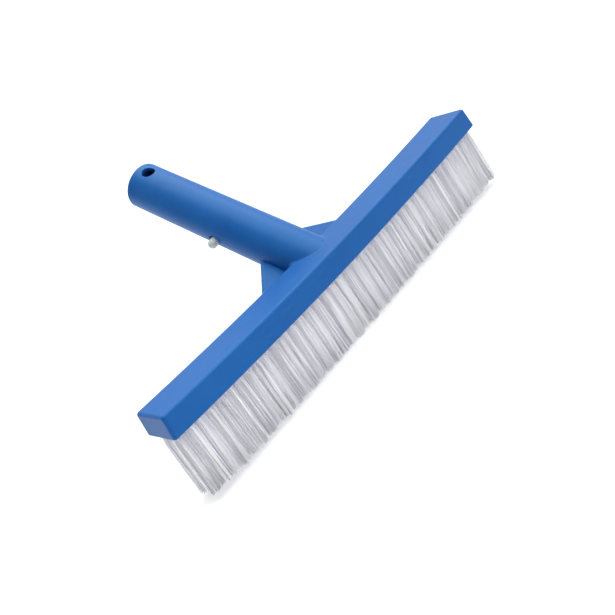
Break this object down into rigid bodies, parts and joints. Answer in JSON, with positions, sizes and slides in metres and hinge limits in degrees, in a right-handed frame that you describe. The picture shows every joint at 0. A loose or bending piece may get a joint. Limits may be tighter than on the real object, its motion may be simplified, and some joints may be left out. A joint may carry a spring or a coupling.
{
  "type": "pool wall brush",
  "caption": "Curved brush back with tufted nylon bristles and an angled handle tube with a spring clip and button for a telescopic pole.",
  "frame": {"origin": "on the plane of the middle bristle tips, straight below the middle of the brush back, where the brush meets the wall it scrubs", "axes": "+X along the brush back, +Y towards the side that the handle leaves, +Z from the bristle tips to the back; the handle rises 31.66 degrees from +Y towards +Z"},
  "size_m": [0.2576, 0.1432, 0.1199],
  "materials": {
    "blue_plastic": "satin injection-moulded polypropylene, mid blue",
    "nylon_bristle": "translucent white nylon filament",
    "staple_steel": "drawn flat wire",
    "clip_plastic": "satin off-white acetal"
  },
  "bodies": {
    "brush": {"brush_back": "blue_plastic", "handle_root": "blue_plastic", "handle_tube": "blue_plastic", "gusset_left": "blue_plastic", "gusset_right": "blue_plastic", "tufts_row_1": "nylon_bristle", "tufts_row_2": "nylon_bristle", "tufts_row_3": "nylon_bristle", "tufts_row_4": "nylon_bristle", "staples_row_1": "staple_steel", "staples_row_2": "staple_steel", "staples_row_3": "staple_steel", "staples_row_4": "staple_steel", "end_plug": "blue_plastic", "clip_spring": "clip_plastic"},
    "arm": {"clip_arm": "clip_plastic"}
  },
  "joints": [
    {"name": "button_press", "type": "hinge", "parent": "brush", "child": "arm", "pos_m": [-0.00802, 0.03937, 0.05497], "axis": [0.2079, 0.5134, -0.8326], "range_deg": [0, 9], "stiffness_Nm_per_rad": 0.9, "springref_deg": -6.88}
  ]
}
